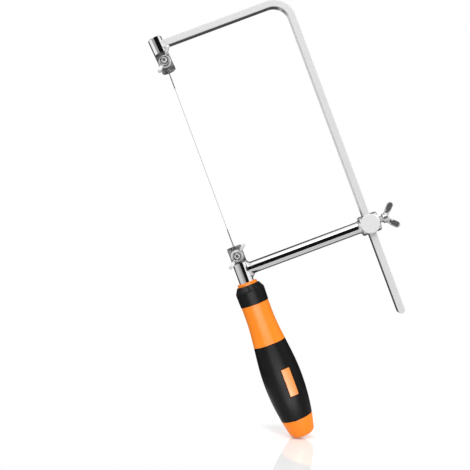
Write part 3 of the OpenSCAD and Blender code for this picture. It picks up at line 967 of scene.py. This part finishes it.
class FRETSAW_OT_bow(bpy.types.Operator):
    """Bends the bow's bar and welds it to the post"""

    bl_idname = "fretsaw.bow"
    bl_label = "Bow"

    def execute(self, context):
        sizes = context.scene.fret_saw.frame
        top_z = BOW_HIGH.z - sizes.bar_thickness / 2
        rail = add_piece("bow_rail", [self.rail(sizes, top_z)], "plated_bar", "bow",
                         ["bow_bar"], sharp=50.0)
        even_shading(rail)
        add_piece("post_weld", [self.weld(sizes, top_z), self.bead(sizes, top_z)], "plated_bar",
                  "bow", ["post_braze"], sharp=60.0)
        return {"FINISHED"}

    @staticmethod
    def post_axis(sizes, z):
        """Place of the leaning post's axis across the saw, at a height."""
        return (CLAMPS["upper"]["z"] - z) * math.tan(sizes.post_lean)

    @staticmethod
    def post_side(sizes, deep):
        """Distance of the post's round side from its axis, at a depth."""
        return math.sqrt(max(sizes.post_radius ** 2 - deep ** 2, 0.0))

    @staticmethod
    def corners(half_high, half_deep, edge, steps=5):
        """A rectangle with rounded corners, as (height, depth) pairs."""
        found = []
        for k, (high, deep) in enumerate([(1, 1), (1, -1), (-1, -1), (-1, 1)]):
            for i in range(steps + 1):
                a = math.pi / 2 * (k + i / steps)
                found.append((high * (half_high - edge) + edge * math.sin(a),
                              deep * (half_deep - edge) + edge * math.cos(a)))
        return found

    def section(self, sizes, middle, out, half, most=0.9):
        """The bar's section at a point of its middle line."""
        edge = min(sizes.bar_edge, half * most)
        return [middle + out * high + Vector((0, deep, 0))
                for high, deep in self.corners(half, BOW_HIGH.y, edge)]

    def rail(self, sizes, top_z, arm_steps=12, bend_steps=32, spine_steps=24, tail_steps=12):
        """The bar from inside the post, round its bend, to its round tail."""
        half = sizes.bar_thickness / 2
        spine_x = BOW_HIGH.x - half
        bend_x = spine_x - sizes.bend_radius
        bend_z = top_z - sizes.bend_radius
        start = self.post_axis(sizes, top_z) + sizes.post_radius / 4
        tail = BOW_LOW.z + half
        up, right = Vector((0, 0, 1)), Vector((1, 0, 0))
        line = []
        for i in range(arm_steps + 1):
            x = start + (bend_x - start) * i / arm_steps
            line.append((Vector((x, 0, top_z)), up, half))
        for i in range(1, bend_steps):
            a = math.pi / 2 * (1 - i / bend_steps)
            out = Vector((math.cos(a), 0, math.sin(a)))
            line.append((Vector((bend_x, 0, bend_z)) + sizes.bend_radius * out, out, half))
        for i in range(spine_steps + 1):
            z = bend_z + (tail - bend_z) * i / spine_steps
            line.append((Vector((spine_x, 0, z)), right, half))
        for i in range(1, tail_steps):
            a = math.pi / 2 * i / tail_steps
            z = tail - half * math.sin(a)
            line.append((Vector((spine_x, 0, z)), right, half * math.cos(a)))
        return skin([self.section(sizes, *point) for point in line])

    def weld(self, sizes, top_z, steps=8, overlap=0.25):
        """A hollow ring of weld that runs from inside the post's round side on to the bar."""
        rings = []
        for i in range(steps + 1):
            s = i / steps
            grow = sizes.weld_width * (1 - s) ** 2
            corners = self.corners(sizes.bar_thickness / 2 + grow, BOW_HIGH.y + grow / 4,
                                   sizes.bar_edge + grow / 2)
            ring = []
            for high, deep in corners:
                side = self.post_axis(sizes, top_z + high) + self.post_side(sizes, deep)
                x = side + sizes.weld_length * (s - overlap)
                ring.append(Vector((x, deep, top_z + high)))
            rings.append(ring)
        return skin(rings)

    def bead(self, sizes, top_z, rows=24, steps=32, broad=1.15, blunt=0.5):
        """A bead of weld along the corner under the bar's end, round at both ends."""
        size = sizes.bead_radius
        z = top_z - sizes.bar_thickness / 2 + size / 5
        half = BOW_HIGH.y + size / 4
        rings = []
        for i in range(1, rows):
            a = math.pi * i / rows
            deep = -half * math.cos(a)
            x = self.post_axis(sizes, z) + self.post_side(sizes, deep) + size / 3
            middle = Vector((x, deep, z))
            radius = size * math.sin(a) ** blunt
            rings.append([middle + radius * Vector((broad * math.cos(t), 0, math.sin(t)))
                          for t in full_turn(steps)])
        return skin(rings)


def superellipse(half_wide, half_thick, square, steps=28):
    """Points of an oval that is squarer the larger its power."""
    found = []
    for a in full_turn(steps):
        c = math.cos(a)
        s = math.sin(a)
        found.append((math.copysign(abs(c) ** (2 / square), c) * half_wide,
                      math.copysign(abs(s) ** (2 / square), s) * half_thick))
    return found


def wing(root, tip, breadth, thickness, side, neck=0.78, steps=22):
    """One wing in the XZ plane, round at its root and flat and broad at its tip."""
    flat_start, flat_run = 0.3, 0.25
    # Values at the root or the rim, and what a flat middle adds to them
    root_thick, more_thick = 0.8, 0.2
    rim_thick, more_rim = 0.55, 0.45
    root_square, more_square = 2.2, 7
    least_end = 0.004
    root = Vector((root[0] * side, 0, root[1]))
    tip = Vector((tip[0] * side, 0, tip[1]))
    along = (tip - root).normalized()
    across = Vector((along.z, 0, -along.x))
    half = breadth / 2
    run = (tip - root).length + half
    rings = []
    for i in range(steps + 1):
        s = i / steps
        from_end = run * (1 - s)
        end = 1.0
        if from_end < half:
            end = math.sqrt(max(1 - (1 - from_end / half) ** 2, least_end))
        flat = min(1.0, max(0.0, (s - flat_start) / flat_run))
        flat = flat * flat * (3 - 2 * flat)
        half_wide = half * (neck + (1 - neck) * flat) * end
        half_thick = (thickness / 2 * (root_thick + more_thick * flat)
                      * (rim_thick + more_rim * end))
        ring = superellipse(half_wide, half_thick, root_square + more_square * flat)
        rings.append([root + along * run * s + across * u + Vector((0, v, 0)) for u, v in ring])
    return skin(rings)


def thread_rings(radius, pitch, depth, low, high, rows_per_turn=8):
    """Rings of a thread round Z, which deepens over its first turn."""
    rows = round((high - low) / pitch * rows_per_turn)
    rings = []
    for i in range(rows + 1):
        up = (high - low) * i / rows
        ring = []
        for a in full_turn(THREAD_STEPS):
            phase = (up / pitch - a / math.tau) % 1.0
            here = radius - min(1.0, up / pitch) * depth * abs(2 * phase - 1)
            ring.append(Vector((here * math.cos(a), here * math.sin(a), low + up)))
        rings.append(ring)
    return rings


def bolt_bore(sizes):
    """Radius of the holes that a clamp bolt runs through."""
    return sizes.bolt_radius + sizes.thread_pitch / 8


class FRETSAW_OT_wing_screw(bpy.types.Operator):
    """Casts the wing screw that clamps the bow in its collar"""

    bl_idname = "fretsaw.wing_screw"
    bl_label = "Wing screw"

    def execute(self, context):
        sizes = context.scene.fret_saw.clamps
        foot = COLLAR_HIGH.x + sizes.hub_gap
        turn = Matrix.Translation((foot, 0, ARM_Z)) @ Matrix.Rotation(math.pi / 2, 4, "Y")
        edge = sizes.hub_edge
        hub = lathe(rounded([
            (0.0, 0.0), (sizes.hub_radius, 0.0, edge),
            (sizes.hub_top_radius, sizes.hub_height, 2 * edge), (0.0, sizes.hub_height)]))
        wings = [wing((sizes.hub_radius / 3, sizes.hub_height / 2),
                      (sizes.screw_wing_reach, sizes.screw_wing_rise),
                      sizes.screw_wing_breadth, sizes.screw_wing_thickness, side, neck=0.88)
                 for side in SIDES]
        piece = add_piece("frame_screw_casting", [moved(shell, turn) for shell in [hub, *wings]],
                          "zinc_hardware", "frame_screw", ["frame_wing_screw"])
        cast_together(piece, sizes.cast_grain)
        shank = skin(thread_rings(sizes.screw_shank_radius, sizes.screw_pitch, sizes.screw_depth,
                                  SCREW_LOW.x - foot, edge))
        add_piece("frame_screw_thread", [moved(shank, turn)], "zinc_hardware", "frame_screw",
                  ["frame_wing_screw"], sharp=30.0)
        return {"FINISHED"}


class FRETSAW_OT_wing_nuts(bpy.types.Operator):
    """Casts the two wing nuts of the blade clamps"""

    bl_idname = "fretsaw.wing_nuts"
    bl_label = "Wing nuts"

    def execute(self, context):
        sizes = context.scene.fret_saw.clamps
        shells = self.shells(sizes)
        for name, turn in (("lower", sizes.lower_turn), ("upper", sizes.upper_turn)):
            clamp = CLAMPS[name]
            place = at_bolt(clamp) @ Matrix.Translation((0, 0, clamp["washer_front"]))
            place = place @ Matrix.Rotation(math.pi / 2 - turn, 4, "Z")
            piece = add_piece(name + "_nut_casting", [moved(shell, place) for shell in shells],
                              "nut_zinc", name + "_nut", [name + "_wing_nut"])
            cast_together(piece, sizes.cast_grain)
        return {"FINISHED"}

    @staticmethod
    def shells(sizes, wing_rise=0.6):
        """A bored hub, and two wings that leave it at a share of its height."""
        bore = bolt_bore(sizes)
        edge = sizes.thread_pitch / 2
        high = sizes.nut_height
        seam = (bore, high / 2)
        hub = lathe(rounded([
            seam, (bore, 0.0), (sizes.nut_radius, 0.0, edge), (sizes.nut_top_radius, high, edge),
            (bore, high, edge), seam])[:-1], "joined")
        wings = [wing(((bore + sizes.nut_radius) / 2, high * wing_rise),
                      (sizes.nut_wing_reach, sizes.nut_wing_rise),
                      sizes.nut_wing_breadth, sizes.nut_wing_thickness, side) for side in SIDES]
        return [hub, *wings]


class FRETSAW_OT_bolts(bpy.types.Operator):
    """Turns the threaded clamp bolts and their washers"""

    bl_idname = "fretsaw.bolts"
    bl_label = "Bolts and washers"

    def execute(self, context):
        sizes = context.scene.fret_saw.clamps
        for name, clamp in CLAMPS.items():
            place = at_bolt(clamp)
            add_piece(name + "_bolt", [moved(self.bolt(sizes, clamp), place)],
                      "zinc_hardware", clamp["carrier"], [name + "_clamp_bolt"], sharp=30.0)
            add_piece(name + "_washer_ring", [moved(self.washer(sizes, clamp), place)],
                      "satin_zinc", name + "_washer", [name + "_washer"], sharp=60.0)
        return {"FINISHED"}

    @staticmethod
    def washer(sizes, clamp):
        """A flat ring with soft edges."""
        edge = sizes.thread_pitch / 3
        bore = bolt_bore(sizes)
        back, front, rim = clamp["washer_back"], clamp["washer_front"], clamp["washer_radius"]
        seam = ((bore + rim) / 2, back)
        return lathe(rounded([
            seam, (bore, back, edge), (bore, front, edge), (rim, front, edge), (rim, back, edge),
            seam])[:-1], "joined")

    @staticmethod
    def bolt(sizes, clamp, dome_share=0.3, dome_steps=8, tip_slope=1.4):
        """A domed head at the back, a plain shank and a thread that ends in a cone."""
        head, back, end = clamp["head_radius"], -clamp["head_end"], clamp["bolt_end"]
        dome = head * dome_share
        seat = back + 2 * dome
        turns = [math.pi / (2 * dome_steps) * i for i in range(dome_steps + 1)]
        profile = [(head * math.sin(a), back + dome * (1 - math.cos(a))) for a in turns]
        profile += [(head, seat), (sizes.bolt_radius, seat)]
        rings = [circle(r, z, THREAD_STEPS) for r, z in profile]
        rings += thread_rings(sizes.bolt_radius, sizes.thread_pitch, sizes.thread_depth, 0.0,
                              end - sizes.bolt_tip)
        rings.append(circle(sizes.bolt_radius - tip_slope * sizes.bolt_tip, end, THREAD_STEPS))
        return skin(rings)


class FRETSAW_OT_blade(bpy.types.Operator):
    """Twists the looped wire blade"""

    bl_idname = "fretsaw.blade"
    bl_label = "Blade"

    def execute(self, context):
        sizes = context.scene.fret_saw.blade
        for name, clamp in CLAMPS.items():
            end = WIRE_LOW.z if clamp["loop_up"] > 0 else WIRE_HIGH.z
            path, radii = self.loop(sizes, abs(end - clamp["z"]))
            points = [Vector((p.x, p.y, clamp["z"] + clamp["loop_up"] * p.z)) for p in path]
            add_piece(name + "_loop_wire", [tube(points, radii)], "blade_steel",
                      clamp["carrier"], [name + "_blade_loop"], sharp=60.0)
        piece = add_piece("blade_spiral", [self.spiral(sizes)], "blade_steel", "handle",
                          ["blade_wire"], sharp=30.0)
        span = WIRE_HIGH.z - WIRE_LOW.z
        (span - BOW_TRAVEL) / span
        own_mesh(piece)
        return {"FINISHED"}

    @staticmethod
    def loop(sizes, reach, steps=16, arc_steps=48):
        """The line and radii of a wire down the twist, round the bolt and up the twist again."""
        meet = sizes.loop_middle + sizes.loop_neck
        open_turn = math.acos(sizes.loop_radius / sizes.loop_neck)
        turns = (reach - meet) / sizes.twist_pitch
        count = round(turns * steps)
        twist = []
        for i in range(count + 1):
            a = math.tau * turns * i / count
            z = meet + (reach - meet) * i / count
            twist.append(Vector((
                sizes.strand_radius * math.cos(a), sizes.strand_radius * math.sin(a), z)))
        arc = []
        for i in range(arc_steps + 1):
            a = math.pi / 2 - open_turn - (math.tau - 2 * open_turn) * i / arc_steps
            z = sizes.loop_middle + sizes.loop_radius * math.sin(a)
            arc.append(Vector((sizes.loop_radius * math.cos(a), 0, z)))
        other = [Vector((-p.x, -p.y, p.z)) for p in twist]
        ends = [sizes.strand_radius] * len(twist)
        radii = ends + [sizes.loop_strand_radius] * len(arc) + ends
        return twist[::-1] + arc + other, radii

    @staticmethod
    def spiral(sizes, rows_per_turn=10, rows_per_tooth=3, corners=8, flat=0.76):
        """A square wire, twisted along its length and nicked to form teeth."""
        span = WIRE_HIGH.z - WIRE_LOW.z
        rows = round(span / sizes.spiral_pitch * rows_per_turn)
        rings = []
        for i in range(rows + 1):
            nick = 1 - sizes.tooth_share * (i % rows_per_tooth) / (rows_per_tooth - 1)
            twist = math.tau * i / rows_per_turn
            z = WIRE_LOW.z + span * i / rows
            ring = []
            for k, turn in enumerate(full_turn(corners)):
                r = WIRE_HIGH.x * (nick if k % 2 == 0 else flat)
                a = twist + turn
                ring.append(Vector((r * math.cos(a), r * math.sin(a), z)))
            rings.append(ring)
        return skin(rings)


def upright(turns, top, low):
    """Corners of a card between two rises, along its top and back along its foot."""
    return [(turn, top) for turn in turns] + [(turn, low) for turn in reversed(turns)]


# Lamps: name, turn from the front, rise, distance, size, watts
LAMPS = [
    ("key", 24, 38, 1.8, (0.4, 1.0), 16.0),
    ("overhead", 0, 70, 1.6, (1.8, 0.7), 8.0),
    ("right", 78, 4, 1.8, (0.7, 1.8), 6.4),
    ("left", -72, 10, 2.0, (0.4, 1.6), 6.4),
]
# Lamps for the sheen of some pieces: name, height aimed at, the same values again, pieces
MOULDINGS = ["core_moulding", "window_moulding", "grip_moulding", "neck_moulding"]
SHEENS = [
    ("sheen", -0.1, 0, 0, 0.9, (1.0, 0.4), 12.0, MOULDINGS),
    ("low_sheen", -0.036, 0, 0, 0.06, (0.07, 0.016), 0.05, MOULDINGS),
    ("neck_sheen", 0.066, -24, 62, 0.9, (1.3, 0.3), 13.0, ["neck_moulding"]),
]
# Cards round the saw: name, brightness, distance, corners as turn and rise
CARDS = [
    ("black_flag", 0.008, 3.0, [(-20, 30), (24, 32), (68, 30), (20, -30), (11, -31), (1, -30)]),
    ("front_card", 0.34, 3.1, upright((-27, -6), 8, -22)),
    ("near_left_card", 0.48, 3.2, upright((-47, -27), 8, -26)),
    ("high_left_card", 0.42, 3.3, upright((-54, -6), 40, 8)),
    ("left_card", 0.67, 3.4, upright((-116, -80, -47), 8, -30)),
    ("left_top_flag", 0.04, 3.5, upright((-112, -86, -60), 78, 40)),
    ("back_card", 0.83, 1.0, upright((181.5, 186, 191), 27, -2.5)),
    ("back_left_flag", 0.04, 3.6, upright((112, 135, 158), 60, -60)),
    ("back_right_flag", 0.04, 3.6, upright((183, 215, 248), 60, -60)),
    ("back_top_flag", 0.04, 3.7, upright((150, 175, 200), 84, 30)),
    ("back_low_flag", 0.04, 3.7, upright((158, 170, 183), 1, -60)),
    ("key_card", 2.5, 3.8, [(0, 64), (20, 66), (42, 64), (36, 40), (20, 42), (4, 40)]),
]
# Level cards just above the butt's end: name, brightness, left, right, near and far edges
LOW_CARDS = [
    ("low_card", 0.64, -0.01, 0.35, -0.19, 0.03),
    ("low_flag", 0.08, -1.2, 1.2, 0.03, 2.0),
]
LOW_CARD_RISE = 0.002
WHITE = (1, 1, 1, 1)


class FRETSAW_OT_stage(bpy.types.Operator):
    """Sets the camera, the lamps, the floor and the white background"""

    bl_idname = "fretsaw.stage"
    bl_label = "Stage"

    def execute(self, context):
        scene = context.scene
        stage = scene.fret_saw.stage
        scene.view_settings.view_transform = "Standard"
        self.add_camera(scene, stage)
        self.light_world(scene, stage)
        self.add_floor(scene, stage)
        middle = Vector((stage.camera_x, 0, stage.camera_z))
        for name, turn, rise, distance, size, power in LAMPS:
            self.add_lamp(scene, name, self.facing(middle, turn, rise, distance), size, power)
        for name, z, turn, rise, distance, size, power, pieces in SHEENS:
            place = self.facing(Vector((0, 0, z)), turn, rise, distance)
            self.light_only(self.add_lamp(scene, name, place, size, power), pieces)
        for name, brightness, distance, corners in CARDS:
            points = [middle + self.towards(*corner) * distance for corner in corners]
            self.add_card(scene, name, points, brightness)
        z = CORE_LOW.z + LOW_CARD_RISE
        for name, brightness, left, right, near, far in LOW_CARDS:
            points = [(left, near, z), (right, near, z), (right, far, z), (left, far, z)]
            self.add_card(scene, name, points, brightness)
        return {"FINISHED"}

    @staticmethod
    def towards(turn, rise):
        """The direction that is turned from the front to the right, and raised, by degrees."""
        turn, rise = math.radians(turn), math.radians(rise)
        level = math.cos(rise)
        return Vector((math.sin(turn) * level, -math.cos(turn) * level, math.sin(rise)))

    def facing(self, middle, turn, rise, distance):
        """The place of a lamp that faces a point from a direction."""
        back = self.towards(turn, rise)
        aim = back.to_track_quat("Z", "Y").to_matrix().to_4x4()
        return Matrix.Translation(middle + back * distance) @ aim

    @staticmethod
    def add_camera(scene, stage):
        """A camera level with the saw's middle, rolled so that the saw leans."""
        data = bpy.data.cameras.new("camera")
        data.angle = 2 * math.atan(stage.view_width / 2 / stage.camera_distance)
        camera = bpy.data.objects.new("camera", data)
        scene.collection.objects.link(camera)
        place = Matrix.Translation((stage.camera_x, -stage.camera_distance, stage.camera_z))
        roll = Matrix.Rotation(stage.camera_roll, 4, "Y")
        level = Matrix.Rotation(math.pi / 2, 4, "X")
        camera.matrix_world = place @ roll @ level
        scene.camera = camera

    @staticmethod
    def seen(shader):
        """1 for what the camera, a mirror or a glass sees, and 0 for light on the saw."""
        rays = [shader.node("ShaderNodeLightPath", out=ray)
                for ray in ("Is Camera Ray", "Is Glossy Ray", "Is Transmission Ray")]
        return shader.math("MAXIMUM", shader.math("MAXIMUM", rays[0], rays[1]), rays[2])

    def light_world(self, scene, stage):
        """White to the eye, and softer as a light."""
        world = bpy.data.worlds.new("studio")
        world.use_nodes = True
        shader = Shader(world.node_tree)
        strength = stage.ambient + (1 - stage.ambient) * self.seen(shader)
        background = shader.node(
            "ShaderNodeBackground", None, {"Color": WHITE, "Strength": strength})
        shader.node("ShaderNodeOutputWorld", None, {"Surface": background})
        scene.world = world

    @staticmethod
    def add_sheet(scene, name, corners, faces):
        """A thin sheet of the stage, with the shader of its own material."""
        mesh = bpy.data.meshes.new(name)
        mesh.from_pydata(corners, [], faces)
        material = bpy.data.materials.new(name)
        material.use_nodes = True
        mesh.materials.append(material)
        sheet = bpy.data.objects.new(name, mesh)
        scene.collection.objects.link(sheet)
        return sheet, Shader(material.node_tree)

    def add_floor(self, scene, stage, half=0.065, front=0.108, gap=0.0002):
        """A patch of floor, level in the picture, with a soft shadow and a faint mirror image.

        It fades to white at its edges and mirrors only under the butt. Its shadow is a little
        stronger in front of the handle's axis than behind it.
        """
        turn = Matrix.Rotation(stage.camera_roll, 4, "Y")
        up = turn.to_3x3() @ Vector((0, 0, 1))
        edge, _ = butt_edge(scene.fret_saw.handle)
        lowest = min(up.z * z - up.x * r for r, z in edge) - gap
        corners = [(-half, -front, 0), (half, -front, 0), (half, half, 0), (-half, half, 0)]
        floor, shader = self.add_sheet(scene, "floor", corners, [(0, 1, 2, 3)])
        floor.matrix_world = turn @ Matrix.Translation((0, 0, lowest))
        x, y = shader.axes(shader.place(), "XY")
        aside = shader.size(x)
        full_side, full_back, full_front = half * 0.6, half * 0.4, front * 0.75
        near = (shader.step(aside, half, full_side) * shader.step(y, half, full_back)
                * shader.step(y, -front, -full_front))
        mirror_side, clear_side, mirror_back = half * 0.55, half * 0.25, half * 0.5
        under = shader.step(aside, mirror_side, clear_side) * shader.step(y, mirror_back, 0.0)
        pale = shader.node("ShaderNodeBsdfPrincipled", None, {
            "Base Color": (0.98, 0.98, 0.98, 1), "Specular IOR Level": 0.0,
            "Coat Weight": under, "Coat Roughness": 0.06, "Coat IOR": 3.0})
        white = shader.node("ShaderNodeEmission", None, {"Color": WHITE, "Strength": 1.3})
        behind, back_shade, more_ahead = 0.006, 0.74, 0.16
        shadow = near * (back_shade + more_ahead * shader.step(y, behind, 0.0))
        veil = self.seen(shader) * (1 - shadow)
        shader.close(shader.node("ShaderNodeMixShader", None, {0: veil, 1: pale, 2: white}))

    @staticmethod
    def add_lamp(scene, name, place, size, power):
        """A soft rectangular lamp that no mirror sees."""
        data = bpy.data.lights.new(name, "AREA")
        data.shape = "RECTANGLE"
        data.size, data.size_y = size
        data.energy = power
        lamp = bpy.data.objects.new(name, data)
        scene.collection.objects.link(lamp)
        lamp.matrix_world = place
        lamp.visible_camera = False
        lamp.visible_glossy = False
        return lamp

    @staticmethod
    def light_only(lamp, names):
        """Lets a lamp put a sheen on the named pieces and nothing else."""
        lamp.visible_glossy = True
        lamp.visible_diffuse = False
        lit = bpy.data.collections.new(lamp.name + " lights")
        for name in names:
            lit.objects.link(bpy.data.objects[name])
        lamp.light_linking.receiver_collection = lit

    def add_card(self, scene, name, corners, brightness):
        """A one-sided card, dark or pale, that only mirrors see.

        Its upper corners run one way and its lower ones back.
        """
        half = len(corners) // 2
        faces = [(i, i + 1, 2 * half - i - 2, 2 * half - i - 1) for i in range(half - 1)]
        card, shader = self.add_sheet(scene, name, corners, faces)
        card.active_material.cycles.emission_sampling = "NONE"
        for ray in ("camera", "diffuse", "transmission", "volume_scatter", "shadow"):
            setattr(card, "visible_" + ray, False)
        glow = shader.node("ShaderNodeEmission", None, {"Color": WHITE, "Strength": brightness})
        clear = shader.node("ShaderNodeBsdfTransparent")
        behind = shader.node("ShaderNodeNewGeometry", out="Backfacing")
        shader.close(shader.node("ShaderNodeMixShader", None, {0: behind, 1: glow, 2: clear}))


OPERATORS = [
    FRETSAW_OT_core, FRETSAW_OT_grip, FRETSAW_OT_neck, FRETSAW_OT_rods, FRETSAW_OT_fillet,
    FRETSAW_OT_bow, FRETSAW_OT_wing_screw, FRETSAW_OT_wing_nuts, FRETSAW_OT_bolts,
    FRETSAW_OT_blade, FRETSAW_OT_stage,
]
SETTINGS = [HandleSizes, FrameSizes, ClampSizes, BladeSizes, Finishes, StageSettings, FretSaw]


class FRETSAW_PT_panel(bpy.types.Panel):
    """Lists the fret saw's settings and the steps that build it"""

    bl_idname = "FRETSAW_PT_panel"
    bl_label = "Fret Saw"
    bl_space_type = "VIEW_3D"
    bl_region_type = "UI"
    bl_category = "Fret Saw"

    def draw(self, context):
        for operator in OPERATORS:
            self.layout.operator(operator.bl_idname)
        settings = context.scene.fret_saw
        for group in ("handle", "frame", "clamps", "blade", "finishes", "stage"):
            box = self.layout.box()
            for name in getattr(settings, group).bl_rna.properties.keys():
                if name not in ("rna_type", "name"):
                    box.prop(getattr(settings, group), name)


def register():
    for cls in [*SETTINGS, *OPERATORS, FRETSAW_PT_panel]:
        bpy.utils.register_class(cls)
    bpy.types.Scene.fret_saw = PointerProperty(type=FretSaw)


def unregister():
    del bpy.types.Scene.fret_saw
    for cls in reversed([*SETTINGS, *OPERATORS, FRETSAW_PT_panel]):
        bpy.utils.unregister_class(cls)


def main():
    register()
    for operator in OPERATORS:
        group, name = operator.bl_idname.split(".")
        getattr(getattr(bpy.ops, group), name)()


if __name__ == "__main__":
    main()
